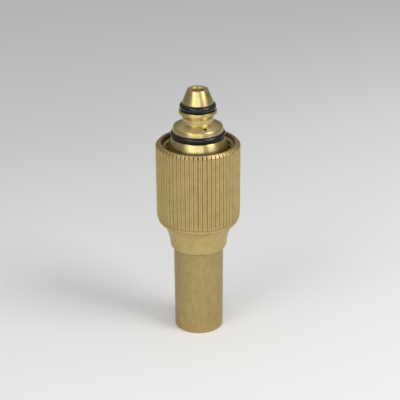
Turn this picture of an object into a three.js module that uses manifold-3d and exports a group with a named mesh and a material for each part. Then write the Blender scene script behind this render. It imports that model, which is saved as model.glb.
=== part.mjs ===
// Two-passage burner nozzle on a plug-in spigot: a sealed spigot head with a captive knurled union nut, a
// plain barrel below it, and the oil tube, jet, swirler and air cap that the barrel holds.
// Millimetres, +Z up. The outlet face of the barrel is z = 0, and the axis of the nozzle is the Z axis.

import * as THREE from 'three';
import { mergeVertices } from 'three/addons/utils/BufferGeometryUtils.js';
import Module from 'manifold-3d';

const wasm = await Module();
wasm.setup();

// ---------- Driving sizes ----------

const SEGMENTS = 40; // sides of a large round
const FINE_SEGMENTS = 24; // sides of a round inside the oil passage
const PAST = 1; // how far a cutting tool runs past the face it starts from

const SEAT = 0.02; // film between two faces that rest on each other
const FIT = 0.1; // radial, between a piece and the hole that it is screwed or pushed into
const RUN = 0.25; // radial, where a piece turns or slides

const jet = { bodyR: 3.1, hexLip: 0.4, noseR: 1.6, noseHeight: 1.6, noseHoleR: 1.0, ledge: 1.9 };
const jetInset = 1.84; // how deep the jet's nose sits in the air cap's cone
const jetHexLift = 0.7; // from the swirler up to the jet's hexagon
const jetBore = { r: 2.3 };
const orificeDisc = { height: 1.0, orificeR: 0.2, coneR: 1.2 };
const distributor = { height: 1.85, slots: 3, slotWidth: 0.5, slotDepth: 0.6, dimpleR: 0.9, dimple: 0.6 };
const distributorScrew = { height: 1.95, boreR: 0.7, slotWidth: 0.6, slotDepth: 0.7 };
const jetGasket = { height: 0.4 };

const barrel = { height: 34.2, airGap: 0.56, taper: 0.15, edge: 0.35 }; // airGap: outside the jet's hexagon
const barrelMouth = { ledge: 1.05, wall: 1.0 }; // the ledge under the cap's seal, and the wall outside it
const barrelSocket = { depth: 6.6 }; // where the stem of the head screws in
const barrelGasket = { height: 0.4, width: 0.9 };

const lockRing = { recess: 0.5, height: 1.2, holeR: 3.4, slotWidth: 1.2, slotDepth: 0.5 };
const airCap = { height: 3.2, holeR: 1.5, holeDrop: 0.6, coneGap: 0.6 }; // below and outside the jet
const capSeal = { height: 0.3 };
const swirler = { height: 2.8, slots: 6, slotWidth: 0.9, slotWall: 0.6, slotLeanDeg: 30 };

const oilTube = { r: 1.6, boreR: 0.9, threadHeight: 2.9 };
const spider = { height: 2.4, hubWall: 0.8, legs: 3, legWidth: 1.4 };
const tubeSeal = { sectionR: 0.42, play: 0.16, roomHeight: 3.0, sides: 8 };
const gland = { threadHeight: 1.8, hexHeight: 1.9, acrossFlats: 5.6, airGap: 0.37 };

const stem = { ledge: 0.4 }; // how far the stem stands outside the barrel's bore
const flange = { gap: 0.2, height: 3.0 }; // gap: to the crests of the nut's thread
const skirt = { r: 8.05, height: 6.2, taper: 0.23, coneHeight: 1.96, coneInset: 0.77 };
const sealRing = { sectionR: 0.88, gap: 0.04, sides: 12 }; // gap: to the bottom of its groove
const shoulderGroove = { bottomR: 5.45, play: 0.04 };
const shoulderLand = { footR: 6.8, topR: 6.48, height: 1.2 };
const shoulderCone = { height: 1.2 };
const waist = { r: 4.05, height: 1.35 };
const collar = { bevelHeight: 1.2, footR: 5.1, topR: 4.94, height: 0.75 };
const noseGroove = { bottomR: 3.0, play: 0.14 };
const nose = { footR: 4.2, topR: 2.69, height: 3.7, rim: 0.6, mouthDepth: 0.4 };
const noseBore = { r: 1.6, height: 3.5 };
const airHole = { r: 0.45, count: 2, firstDeg: -69, slopeDeg: 55, length: 5.5, sides: 10 };
const strainerRoom = { r: 2.1, height: 4.2 };
const strainer = { collarHeight: 0.6, gap: 0.45, wall: 0.5, roof: 0.6, headroom: 0.3 };

const nutThread = { gap: 0.7, depth: 0.75, reliefHeight: 2.6 }; // gap: from the skirt to its crests
const nutMouth = { flare: 0.2, height: 0.7 };
const nut = { wall: 1.75, height: 30.25, chamfer: 0.8, overlap: 9.77 };
const nutGrip = { ridgePitch: 1.18, ridgeDepth: 0.25, runOut: 1.2 };
const nutLip = { height: 1.25, beadInset: 0.35, footInset: 0.75, necking: 0.5 }; // below the ridges
const nutNeck = { height: 7.7, wall: 0.67, edge: 0.35, straight: 0.75, topInset: 1.15, steps: 6 };
const nutWeb = { height: 4.2 };
const nutTravel = 5.6; // how far the loose nut lifts before its washer meets the flange
const slipWasher = { height: 1.0, gap: 0.45 }; // gap: to the crests of the nut's thread

// ---------- Radii that follow from them ----------

const hexCornerR = (acrossFlats) => acrossFlats / 2 / Math.cos(Math.PI / 6);

const jetAcrossFlats = 2 * (jet.bodyR + jet.hexLip);
const boreR = hexCornerR(jetAcrossFlats) + barrel.airGap;
const mouthR = boreR + barrelMouth.ledge;
const barrelFootR = mouthR + barrelMouth.wall;
const barrelR = barrelFootR + barrel.taper;

const stemR = boreR + stem.ledge;
const socketR = stemR + FIT;
const galleryR = hexCornerR(gland.acrossFlats) + gland.airGap;
const tubeSealRoomR = oilTube.r + 2 * tubeSeal.sectionR + tubeSeal.play;

const threadMinorR = skirt.r + nutThread.gap;
const threadMajorR = threadMinorR + nutThread.depth;
const flangeR = threadMinorR - flange.gap;
const nutR = threadMajorR + nut.wall;
const neckFootR = barrelR + RUN + nutNeck.wall;
const neckTopR = nutR - nutNeck.topInset;

// ---------- Heights that follow from them ----------

const capFoot = lockRing.recess + lockRing.height + SEAT;
const capRimTop = capFoot + airCap.height;
const capTop = capRimTop + capSeal.height + 2 * SEAT; // also the depth of the outlet recess
const swirlerFoot = capTop + SEAT;
const swirlerTop = swirlerFoot + swirler.height;

const jetFoot = capTop - jetInset;
const discFoot = jetFoot + jet.ledge + SEAT;
const distributorFoot = discFoot + orificeDisc.height + SEAT;
const screwFoot = distributorFoot + distributor.height + SEAT;
const jetGasketFoot = screwFoot + distributorScrew.height + SEAT;
const tubeFoot = jetGasketFoot + jetGasket.height + SEAT;
const jetTop = tubeFoot + oilTube.threadHeight;

const socketFoot = barrel.height - barrelSocket.depth;
const stemFoot = socketFoot + barrelGasket.height + 2 * SEAT;
const webFoot = barrel.height + SEAT;
const webTop = webFoot + nutWeb.height;
const nutFoot = webFoot - nut.overlap;
const nutTop = nutFoot + nut.height;
const washerFoot = webTop + SEAT;
const flangeFoot = washerFoot + slipWasher.height + nutTravel;

const grooveHeight = (groove) => 2 * sealRing.sectionR + groove.play;
const skirtTop = flangeFoot + flange.height + skirt.height + skirt.coneHeight;
const landFoot = skirtTop + grooveHeight(shoulderGroove);
const coneFoot = landFoot + shoulderLand.height;
const waistFoot = coneFoot + shoulderCone.height;
const collarFoot = waistFoot + waist.height + collar.bevelHeight;
const noseGrooveFoot = collarFoot + collar.height;
const noseFoot = noseGrooveFoot + grooveHeight(noseGroove);
const noseTop = noseFoot + nose.height;

const strainerRoomTop = noseTop - noseBore.height;
const tubeSealRoomTop = strainerRoomTop - strainerRoom.height;
const galleryTop = tubeSealRoomTop - tubeSeal.roomHeight;
const glandTop = galleryTop + gland.threadHeight;

// ---------- Ways of making a solid ----------

// A closed geometry as a solid, with its doubled seam points joined and its flat pole triangles dropped.
function solidOf(geometry) {
  geometry.deleteAttribute('normal');
  geometry.deleteAttribute('uv');
  const merged = mergeVertices(geometry, 1e-4);
  const corners = [];
  for (let i = 0; i < merged.index.count; i += 3) {
    const [a, b, c] = [0, 1, 2].map((k) => merged.index.getX(i + k));
    if (a !== b && b !== c && c !== a) corners.push(a, b, c);
  }
  const mesh = new wasm.Mesh({
    numProp: 3,
    vertProperties: merged.attributes.position.array,
    triVerts: new Uint32Array(corners),
  });
  return new wasm.Manifold(mesh);
}

// An outline of [radius, height] points, given anticlockwise, turned about the Z axis.
function turned(outline, segments = SEGMENTS) {
  const points = outline.map(([radius, height]) => new THREE.Vector2(radius, height));
  points.push(points[0].clone());
  return solidOf(new THREE.LatheGeometry(points, segments).rotateX(Math.PI / 2));
}

// A plain ring between two radii, from foot to top.
function ring(innerR, outerR, foot, top, segments = SEGMENTS) {
  return turned([[innerR, foot], [outerR, foot], [outerR, top], [innerR, top]], segments);
}

// A ring of round section: ringR to the middle of the section, at height.
function roundRing(ringR, sectionR, height, sides, segments = SEGMENTS) {
  const outline = [];
  for (let i = 0; i < sides; i++) {
    const angle = (2 * Math.PI * i) / sides;
    outline.push([ringR + sectionR * Math.cos(angle), height + sectionR * Math.sin(angle)]);
  }
  return turned(outline, segments);
}

// A flat outline of [x, y] points, raised from foot to top.
function prism(outline, foot, top) {
  const shape = new THREE.Shape(outline.map(([x, y]) => new THREE.Vector2(x, y)));
  const geometry = new THREE.ExtrudeGeometry(shape, { depth: top - foot, bevelEnabled: false });
  return solidOf(geometry.translate(0, 0, foot));
}

function hexagon(acrossFlats, foot, top) {
  const cornerR = hexCornerR(acrossFlats);
  const corners = [];
  for (let i = 0; i < 6; i++) {
    const angle = (Math.PI / 3) * i;
    corners.push([cornerR * Math.cos(angle), cornerR * Math.sin(angle)]);
  }
  return prism(corners, foot, top);
}

// A block between two corners, leaned about the X axis, then turned about the Z axis.
function block(low, high, leanDeg = 0, turnDeg = 0) {
  const size = high.map((value, k) => value - low[k]);
  const middle = high.map((value, k) => (value + low[k]) / 2);
  const geometry = new THREE.BoxGeometry(...size);
  geometry.rotateX(THREE.MathUtils.degToRad(leanDeg)).translate(...middle);
  return solidOf(geometry.rotateZ(THREE.MathUtils.degToRad(turnDeg)));
}

// The piece with the same tool taken out of it at even turns about the Z axis.
function cutAround(piece, count, tool, firstDeg = 0) {
  let left = piece;
  for (let i = 0; i < count; i++) left = left.subtract(tool(firstDeg + (360 / count) * i));
  return left;
}

// ---------- The outlet end ----------

function makeBarrel() {
  return turned([
    [mouthR, 0], [barrelFootR - barrel.edge, 0], [barrelFootR, barrel.edge],
    [barrelR, barrel.height - barrel.edge], [barrelR - barrel.edge, barrel.height],
    [socketR, barrel.height], [socketR, socketFoot], [boreR, socketFoot], [boreR, capTop], [mouthR, capTop],
  ]);
}

function makeCapLockRing() {
  const outerR = mouthR - FIT;
  const foot = lockRing.recess;
  const slot = block([-outerR - PAST, -lockRing.slotWidth / 2, foot - PAST],
    [outerR + PAST, lockRing.slotWidth / 2, foot + lockRing.slotDepth]);
  return ring(lockRing.holeR, outerR, foot, foot + lockRing.height).subtract(slot);
}

function makeAirCap() {
  const rimR = mouthR - FIT;
  const bossR = boreR - FIT;
  const coneR = jet.bodyR + airCap.coneGap;
  return turned([
    [airCap.holeR, capFoot], [rimR, capFoot], [rimR, capRimTop], [bossR, capRimTop],
    [bossR, capTop], [coneR, capTop], [airCap.holeR, jetFoot - airCap.holeDrop],
  ]);
}

function makeAirCapSeal() {
  const foot = capRimTop + SEAT;
  return ring(boreR, mouthR - FIT, foot, foot + capSeal.height);
}

function makeAirSwirler() {
  const innerR = jet.bodyR + FIT;
  const outerR = boreR - FIT;
  const halfWidth = swirler.slotWidth / 2;
  const slot = (turnDeg) => block([innerR - PAST, -halfWidth, swirlerFoot - swirler.height],
    [outerR - swirler.slotWall, halfWidth, swirlerTop + swirler.height], swirler.slotLeanDeg, turnDeg);
  return cutAround(ring(innerR, outerR, swirlerFoot, swirlerTop), swirler.slots, slot);
}

// ---------- The jet ----------

function makeOilJet() {
  const hexFoot = swirlerTop + jetHexLift;
  const body = turned([
    [0, jetFoot], [jet.noseR, jetFoot], [jet.bodyR, jetFoot + jet.noseHeight], [jet.bodyR, hexFoot + FIT],
    [0, hexFoot + FIT],
  ]);
  const bore = turned([
    [0, jetFoot - PAST], [jet.noseHoleR, jetFoot - PAST], [jet.noseHoleR, jetFoot + jet.ledge],
    [jetBore.r, jetFoot + jet.ledge], [jetBore.r, jetTop + PAST], [0, jetTop + PAST],
  ], FINE_SEGMENTS);
  return body.add(hexagon(jetAcrossFlats, hexFoot, jetTop)).subtract(bore);
}

function makeOrificeDisc() {
  const outerR = jetBore.r - FIT;
  const top = discFoot + orificeDisc.height;
  return turned([
    [orificeDisc.orificeR, discFoot], [outerR, discFoot], [outerR, top], [orificeDisc.coneR, top],
  ], FINE_SEGMENTS);
}

function makeOilDistributor() {
  const outerR = jetBore.r - FIT;
  const top = distributorFoot + distributor.height;
  const plug = turned([
    [0, distributorFoot + distributor.dimple], [distributor.dimpleR, distributorFoot],
    [outerR, distributorFoot], [outerR, top], [0, top],
  ], FINE_SEGMENTS);
  const halfWidth = distributor.slotWidth / 2;
  const slot = (turnDeg) => block([outerR - distributor.slotDepth, -halfWidth, distributorFoot - PAST],
    [outerR + PAST, halfWidth, top + PAST], 0, turnDeg);
  return cutAround(plug, distributor.slots, slot);
}

function makeDistributorScrew() {
  const outerR = jetBore.r - FIT;
  const top = screwFoot + distributorScrew.height;
  const slot = block([-outerR - PAST, -distributorScrew.slotWidth / 2, top - distributorScrew.slotDepth],
    [outerR + PAST, distributorScrew.slotWidth / 2, top + PAST]);
  return ring(distributorScrew.boreR, outerR, screwFoot, top, FINE_SEGMENTS).subtract(slot);
}

function makeJetGasket() {
  return ring(oilTube.boreR, jetBore.r - FIT, jetGasketFoot, jetGasketFoot + jetGasket.height, FINE_SEGMENTS);
}

// ---------- The oil tube and what holds it ----------

function makeOilTube() {
  const top = tubeSealRoomTop - SEAT;
  const threadR = jetBore.r - FIT;
  return turned([
    [oilTube.boreR, tubeFoot], [threadR, tubeFoot], [threadR, jetTop], [oilTube.r, jetTop],
    [oilTube.r, top], [oilTube.boreR, top],
  ], FINE_SEGMENTS);
}

function makeCentringSpider() {
  const foot = (jetTop + socketFoot - spider.height) / 2;
  const top = foot + spider.height;
  const reach = boreR - FIT;
  const holeR = oilTube.r + FIT;
  const hubR = holeR + spider.hubWall;
  let piece = turned([[0, foot], [hubR, foot], [hubR, top], [0, top]], FINE_SEGMENTS);
  for (let i = 0; i < spider.legs; i++) {
    const turnDeg = (360 / spider.legs) * i;
    piece = piece.add(block([0, -spider.legWidth / 2, foot], [reach, spider.legWidth / 2, top], 0, turnDeg));
  }
  const envelope = turned([[0, foot - PAST], [reach, foot - PAST], [reach, top + PAST], [0, top + PAST]]);
  const hole = turned([[0, foot - PAST], [holeR, foot - PAST], [holeR, top + PAST], [0, top + PAST]],
    FINE_SEGMENTS);
  return piece.intersect(envelope).subtract(hole);
}

function makeOilTubeGland() {
  const holeR = oilTube.r + FIT;
  const shoulder = galleryTop - SEAT;
  const foot = shoulder - gland.hexHeight;
  const threadR = tubeSealRoomR - FIT;
  const thread = turned([[0, shoulder - FIT], [threadR, shoulder - FIT], [threadR, glandTop], [0, glandTop]],
    FINE_SEGMENTS);
  const hole = turned([
    [0, foot - PAST], [holeR, foot - PAST], [holeR, glandTop + PAST], [0, glandTop + PAST],
  ], FINE_SEGMENTS);
  return hexagon(gland.acrossFlats, foot, shoulder).add(thread).subtract(hole);
}

function makeOilTubeSeal() {
  const ringR = (oilTube.r + tubeSealRoomR) / 2;
  return roundRing(ringR, tubeSeal.sectionR, (glandTop + tubeSealRoomTop) / 2, tubeSeal.sides, FINE_SEGMENTS);
}

function makeInletStrainer() {
  const foot = tubeSealRoomTop + SEAT;
  const collarTop = foot + strainer.collarHeight;
  const top = strainerRoomTop - strainer.headroom;
  const thimbleR = strainerRoom.r - strainer.gap;
  const innerR = thimbleR - strainer.wall;
  return turned([
    [innerR, foot], [strainerRoom.r - FIT, foot], [strainerRoom.r - FIT, collarTop],
    [thimbleR, collarTop], [thimbleR, top - strainer.roof], [innerR, top],
    [0, top], [0, top - strainer.roof], [innerR, top - 2 * strainer.roof],
  ], FINE_SEGMENTS);
}

function makeBarrelGasket() {
  const foot = socketFoot + SEAT;
  const outerR = stemR;
  return ring(outerR - barrelGasket.width, outerR, foot, foot + barrelGasket.height);
}

// ---------- The spigot head and its seal rings ----------

function makeSpigotHead() {
  const skirtFoot = flangeFoot + flange.height;
  const shoulderR = skirt.r - skirt.taper;
  const outline = [
    [0, stemFoot], [stemR, stemFoot], [stemR, flangeFoot], [flangeR, flangeFoot], [flangeR, skirtFoot],
    [skirt.r, skirtFoot], [shoulderR, skirtFoot + skirt.height], [shoulderR - skirt.coneInset, skirtTop],
    [shoulderGroove.bottomR, skirtTop], [shoulderGroove.bottomR, landFoot],
    [shoulderLand.footR, landFoot], [shoulderLand.topR, coneFoot],
    [waist.r, waistFoot], [waist.r, waistFoot + waist.height],
    [collar.footR, collarFoot], [collar.topR, noseGrooveFoot],
    [noseGroove.bottomR, noseGrooveFoot], [noseGroove.bottomR, noseFoot],
    [nose.footR, noseFoot], [nose.topR, noseTop], [0, noseTop],
  ];
  const mouthTopR = nose.topR - nose.rim;
  const passages = turned([
    [0, stemFoot - PAST], [galleryR, stemFoot - PAST], [galleryR, galleryTop],
    [tubeSealRoomR, galleryTop], [tubeSealRoomR, tubeSealRoomTop],
    [strainerRoom.r, tubeSealRoomTop], [strainerRoom.r, strainerRoomTop],
    [noseBore.r, strainerRoomTop], [noseBore.r, noseTop - nose.mouthDepth], [mouthTopR, noseTop],
    [mouthTopR, noseTop + PAST], [0, noseTop + PAST],
  ], FINE_SEGMENTS);
  return cutAround(turned(outline).subtract(passages), airHole.count, airHoleTool, airHole.firstDeg);
}

// The drill for an air hole: it enters half way up the shoulder cone and slopes down and in to the gallery.
function airHoleTool(turnDeg) {
  const entryR = (shoulderLand.topR + waist.r) / 2;
  const entryZ = coneFoot + shoulderCone.height / 2;
  const slope = THREE.MathUtils.degToRad(airHole.slopeDeg);
  const depth = airHole.length / 2 - PAST;
  const drill = new THREE.CylinderGeometry(airHole.r, airHole.r, airHole.length, airHole.sides);
  drill.rotateX(Math.PI / 2).rotateY(Math.PI / 2 - slope);
  drill.translate(entryR - depth * Math.cos(slope), 0, entryZ - depth * Math.sin(slope));
  return solidOf(drill.rotateZ(THREE.MathUtils.degToRad(turnDeg)));
}

function makeSealRing(groove, grooveFoot) {
  const ringR = groove.bottomR + sealRing.gap + sealRing.sectionR;
  return roundRing(ringR, sealRing.sectionR, grooveFoot + grooveHeight(groove) / 2, sealRing.sides);
}

// ---------- The union nut and its slip washer ----------

function makeUnionNut() {
  const lipFoot = nutFoot + nutNeck.height;
  const ridgeFoot = lipFoot + nutLip.height;
  const valleyR = nutR - nutGrip.ridgeDepth;
  const ridges = 4 * Math.round((2 * Math.PI * nutR) / nutGrip.ridgePitch / 4);
  const star = [];
  for (let i = 0; i < 2 * ridges; i++) {
    const radius = i % 2 ? valleyR : nutR;
    star.push([radius * Math.cos((Math.PI * i) / ridges), radius * Math.sin((Math.PI * i) / ridges)]);
  }
  const envelope = turned([
    [0, ridgeFoot], [valleyR, ridgeFoot], [nutR, ridgeFoot + nutGrip.runOut],
    [nutR, nutTop - nut.chamfer], [nutR - nut.chamfer, nutTop], [0, nutTop],
  ], ridges);
  const flareFoot = nutFoot + nutNeck.straight;
  const neckOutline = [[0, nutFoot], [neckFootR - nutNeck.edge, nutFoot]];
  for (let i = 0; i <= nutNeck.steps; i++) {
    const t = i / nutNeck.steps;
    neckOutline.push([neckFootR + (neckTopR - neckFootR) * t * t, flareFoot + (lipFoot - flareFoot) * t]);
  }
  neckOutline.push(
    [nutR - nutLip.footInset, lipFoot], [nutR - nutLip.beadInset, lipFoot + nutLip.height / 2],
    [nutR - nutLip.necking, ridgeFoot], [0, ridgeFoot],
  );
  const threadFoot = webTop + nutThread.reliefHeight;
  const threadTop = nutTop - nutMouth.height;
  const nutMouthR = threadMajorR + nutMouth.flare;
  const bore = turned([
    [0, nutFoot - PAST], [barrelR + RUN, nutFoot - PAST], [barrelR + RUN, webFoot],
    [stemR + RUN, webFoot], [stemR + RUN, webTop], [threadMajorR, webTop],
    [threadMajorR, threadFoot], [threadMinorR, threadFoot], [threadMinorR, threadTop],
    [nutMouthR, threadTop], [nutMouthR, nutTop + PAST], [0, nutTop + PAST],
  ]);
  const grip = prism(star, ridgeFoot - SEAT, nutTop + SEAT).intersect(envelope);
  return grip.add(turned(neckOutline)).subtract(bore);
}

function makeSlipWasher() {
  return ring(stemR + RUN, threadMinorR - slipWasher.gap, washerFoot, washerFoot + slipWasher.height);
}

// ---------- The assembly ----------

function finish(color, roughness, metalness) {
  return new THREE.MeshStandardMaterial({ color, roughness, metalness });
}

const turnedBrass = () => finish(0xc9a45c, 0.25, 1);
const tumbledBrass = () => finish(0xa88d5a, 0.5, 1);
const copper = () => finish(0xb5714a, 0.35, 1);
const steel = () => finish(0x9a9a98, 0.3, 1);
const sinteredBronze = () => finish(0x8d6b45, 0.8, 0.8);
const nitrile = () => finish(0x1d1c1a, 0.6, 0);

const nozzle = new THREE.Group();

function addPart(name, solid, material) {
  const { vertProperties, triVerts } = solid.getMesh();
  const geometry = new THREE.BufferGeometry();
  geometry.setAttribute('position', new THREE.BufferAttribute(new Float32Array(vertProperties), 3));
  geometry.setIndex(new THREE.BufferAttribute(new Uint32Array(triVerts), 1));
  geometry.computeVertexNormals();
  const mesh = new THREE.Mesh(geometry, material);
  mesh.name = name;
  nozzle.add(mesh);
}

addPart('spigot_head', makeSpigotHead(), turnedBrass());
addPart('nose_seal_ring', makeSealRing(noseGroove, noseGrooveFoot), nitrile());
addPart('shoulder_seal_ring', makeSealRing(shoulderGroove, skirtTop), nitrile());
addPart('inlet_strainer', makeInletStrainer(), sinteredBronze());
addPart('oil_tube', makeOilTube(), turnedBrass());
addPart('oil_tube_seal', makeOilTubeSeal(), nitrile());
addPart('oil_tube_gland', makeOilTubeGland(), turnedBrass());
addPart('centring_spider', makeCentringSpider(), turnedBrass());
addPart('barrel', makeBarrel(), tumbledBrass());
addPart('barrel_gasket', makeBarrelGasket(), copper());
addPart('oil_jet', makeOilJet(), turnedBrass());
addPart('orifice_disc', makeOrificeDisc(), steel());
addPart('oil_distributor', makeOilDistributor(), steel());
addPart('distributor_screw', makeDistributorScrew(), turnedBrass());
addPart('jet_gasket', makeJetGasket(), copper());
addPart('air_swirler', makeAirSwirler(), turnedBrass());
addPart('air_cap', makeAirCap(), turnedBrass());
addPart('air_cap_seal', makeAirCapSeal(), copper());
addPart('cap_lock_ring', makeCapLockRing(), turnedBrass());
addPart('union_nut', makeUnionNut(), tumbledBrass());
addPart('slip_washer', makeSlipWasher(), steel());

export default nozzle;
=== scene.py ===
"""Plug-in burner nozzle: turned spigot head with two seal rings, loose knurled union nut, plain barrel, and
the oil tube, jet, swirler and air cap inside. Outlines are in millimetres, as [radius, height] or, at a
rounded corner, [radius, height, size of the round]."""
import math
from types import SimpleNamespace as Sizes

import bmesh
import bpy
from mathutils import Matrix, Vector


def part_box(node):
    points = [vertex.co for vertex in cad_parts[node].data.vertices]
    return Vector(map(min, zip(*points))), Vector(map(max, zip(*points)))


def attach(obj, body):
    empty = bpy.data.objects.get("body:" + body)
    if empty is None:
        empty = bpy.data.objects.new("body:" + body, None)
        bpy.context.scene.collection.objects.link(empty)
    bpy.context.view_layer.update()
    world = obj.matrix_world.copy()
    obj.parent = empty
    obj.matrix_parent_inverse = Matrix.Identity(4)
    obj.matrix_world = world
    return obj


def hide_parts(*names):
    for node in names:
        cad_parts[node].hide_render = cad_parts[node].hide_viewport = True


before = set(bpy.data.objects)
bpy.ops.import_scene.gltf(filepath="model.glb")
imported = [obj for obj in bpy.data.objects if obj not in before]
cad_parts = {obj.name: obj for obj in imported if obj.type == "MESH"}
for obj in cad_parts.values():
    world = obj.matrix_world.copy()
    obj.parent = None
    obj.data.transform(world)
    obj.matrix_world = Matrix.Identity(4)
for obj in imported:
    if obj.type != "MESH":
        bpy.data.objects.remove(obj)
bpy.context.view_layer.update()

MM = 0.001
TURN = 2 * math.pi

# ---------- Sizes, millimetres ----------

FINE = 192  # sides of a large turned surface
SMALL = 96  # sides of a small one
ARC_STEPS = 4  # straight steps in a rounded corner
MOST_ROUND = 0.48  # share of an edge that one rounded corner may take
ON_AXIS = 1e-6  # a ring smaller than this is one point
CREASE_DEG = 40  # an edge that bends further than this stays sharp
CRISP = 0.05  # broken edge inside a groove

FIT = 0.1  # radial, between a piece and the hole that it is screwed or pushed into
RUN = 0.25  # radial, between the loose nut or its washer and what they slide on
SEAT = 0.02  # film between two faces that rest on each other
PAST = 0.01  # how far a cutter goes past the end of what it cuts

STEM_R = 5.0  # of the head's stem, which screws into the barrel
BORE_R = STEM_R - 0.4  # of the barrel, below the stem
NUT_TRAVEL = 5.6  # from the washer's top to the flange

HEAD = Sizes(
    flange_height=3.0, skirt_r=8.05, skirt_height=6.2, skirt_taper=0.23, skirt_inset=1.0,
    land_r=6.8, land_top_r=6.48, land_height=1.2, cone_height=1.2,
    waist_r=4.05, waist_height=1.35, waist_corner=(0.07, 0.03, 0.05),
    collar_r=5.1, collar_bevel=1.2, collar_top_r=4.94,
    nose_r=4.2, tip_r=2.69, mouth_r=2.09, mouth_depth=0.4,
)
PASSAGE = Sizes(
    nose_r=1.6, nose_depth=3.5, strainer_r=2.1, strainer_depth=4.2, tube_r=2.6, tube_depth=3.0, gallery_r=3.6,
)
AIR_HOLE = Sizes(
    r=0.45, count=2, first_deg=-69, slope_deg=55, length=5.5, middle=1.75, entry_r=5.3, entry_up=0.6,
)
SEAL_GAP = 0.04  # below a seal ring in its groove

KNURL_RIDGES = 60
KNURL_STEPS = 12  # sides of the nut for each ridge
KNURL_DEPTH = 0.14
KNURL_GROOVE = 0.17  # half a groove's width, as a share of the pitch
KNURL_WANDER = 0.12  # how far a groove strays, as a share of the pitch
KNURL_START = 0.1  # height over which a groove begins
KNURL_SEED = 3.0
SEAM_DEPTH = 0.1  # of the fine line along each ridge's crest
KNURL_END_DEPTH = 0.3  # how much deeper the grooves run out through the top chamfer
# painted shade in the nut's bore and thread roots, and in the dark lines at the bead and the mouth
BORE_SHADE = 1.35
LINE_SHADE = 0.85
LINE_WIDTH = 0.3  # of each painted dark line of shade: on each side of the bead, and at the mouth

NECK = Sizes(
    height=7.7, wall=0.92, mouth_height=0.75, top_inset=1.15, steps=12, bend=0.15, chamfer=(0.15, 0.3),
)
NECK_MOUTH = [[0.4, 0, 0.15], [0.1, 0.45, 0.25], [0, 0.95, 0.2]]  # inset from the neck, height, round
LIP_HEIGHT = 1.25  # the plain bead below the ridges
LIP_SHAPE = [  # inset from the crests, height, round
    [0.72, 0, 0.12], [0.38, 0.42, 0.25], [0.52, 0.95, 0.2], [0.52, LIP_HEIGHT - 0.12, 0.04],
    [KNURL_DEPTH, LIP_HEIGHT, 0.04],
]
RUN_OUT = [[0.68, 0.3], [0.36, 0.7], [0.12, 1.1], [0, 1.5]]  # share of the groove's depth, height
STRAIGHT_STEPS = 9  # of the ridges' straight stretch
NUT_CHAMFER = 0.8
CHAMFER_STEPS = 4
CHAMFER_LEAD = 0.4  # from the last ring of the straight stretch to the chamfer
NUT_INNER_SHARE = 6  # sides of the outside for each side of the bore
NUT_ENTRY = Sizes(step=0.2, depth=0.35, end=0.5)  # the plain entry above the thread
NUT_THREAD = Sizes(root_r=9.5, pitch=1.25, depth=0.7, above_washer=2.6, below_top=0.55, steps=96)

BARREL = Sizes(taper=0.15, foot_band=0.5)
LOCK_RING = Sizes(hole_r=3.4, slots=2, slot=(3.6, 1.2, 1.0), slot_inset=0.4)
AIR_CAP = Sizes(hole_r=1.5, hole_drop=0.6, rim_drop=0.34, cone_r=3.7)
SWIRLER = Sizes(bore_r=3.2, slots=6, slot=(1.4, 0.9, 6.0), lean_deg=30)
JET = Sizes(
    mouth_r=1.0, nose_r=1.6, nose_height=1.6, body_r=3.1, hex_up=5.36, corner_r=4.04, across_flats=7.0,
    chamber_r=2.3, chamber_up=1.9,
)
ORIFICE = Sizes(hole_r=0.2, entry_r=1.2, land=0.2)
DISTRIBUTOR = Sizes(chamber_r=0.9, chamber_height=0.6, slots=3, slot=(1.2, 0.5, 3.0))
SCREW = Sizes(bore_r=0.7, slots=2, slot=(2.4, 0.6, 1.4), slot_inset=0.2)
TUBE = Sizes(r=1.6, bore_r=0.9)
SPIDER = Sizes(legs=3, hub_r=2.5, leg_half=0.7, window_r=9.0, window_past=1.0, arc_steps=8)
GLAND = Sizes(hex_height=1.9, corner_r=3.233, across_flats=5.6)
TUBE_SEAL_SIDES = 20  # of the section
STRAINER = Sizes(bore_r=1.15, body_r=1.65, collar_height=0.6, end=0.5)
GASKET_LEDGE = 0.5  # how far the barrel gasket stands in past the bore
HEX_CUTTER = Sizes(thickness=2.0, width_share=1.4)


def span(node):
    """A turned CAD node's outer radius, foot and top, in millimetres."""
    low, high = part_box(node)
    return high[1] / MM, low[2] / MM, high[2] / MM


# ---------- Turning ----------

def rounded(outline):
    """The outline with every marked corner replaced by a short curve."""
    points = []
    count = len(outline)
    for i, corner in enumerate(outline):
        here = Vector(corner[:2])
        if len(corner) < 3:
            points.append(here)
            continue
        before = Vector(outline[i - 1][:2]) - here
        after = Vector(outline[(i + 1) % count][:2]) - here
        reach = min(corner[2], MOST_ROUND * before.length, MOST_ROUND * after.length)
        start = here + before.normalized() * reach
        end = here + after.normalized() * reach
        for step in range(ARC_STEPS + 1):
            t = step / ARC_STEPS
            points.append(start * (1 - t) ** 2 + here * 2 * t * (1 - t) + end * t ** 2)
    return points


def ring_of(mesh, radius, height, sides):
    """A ring of vertices, or one vertex on the axis."""
    if radius < ON_AXIS:
        return [mesh.verts.new((0, 0, height * MM))]
    ring = []
    for i in range(sides):
        angle = TURN * i / sides
        x, y = radius * MM * math.cos(angle), radius * MM * math.sin(angle)
        ring.append(mesh.verts.new((x, y, height * MM)))
    return ring


def join_rings(mesh, lower, upper):
    """Faces between two rings. Where one is coarser, each of its sides takes several of the other's."""
    if len(lower) == 1 and len(upper) == 1:
        return
    most = max(len(lower), len(upper))
    least = min(len(lower), len(upper))
    if least == most:
        for i in range(most):
            j = (i + 1) % most
            mesh.faces.new((lower[i], lower[j], upper[j], upper[i]))
        return
    fine, coarse = (lower, upper) if len(lower) == most else (upper, lower)
    share = most // least
    for i in range(least):
        run = [fine[(i * share + k) % most] for k in range(share + 1)]
        if least == 1:
            for k in range(share):
                mesh.faces.new((run[k], run[k + 1], coarse[0]))
            return
        mesh.faces.new(run + [coarse[(i + 1) % least], coarse[i]])


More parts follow.
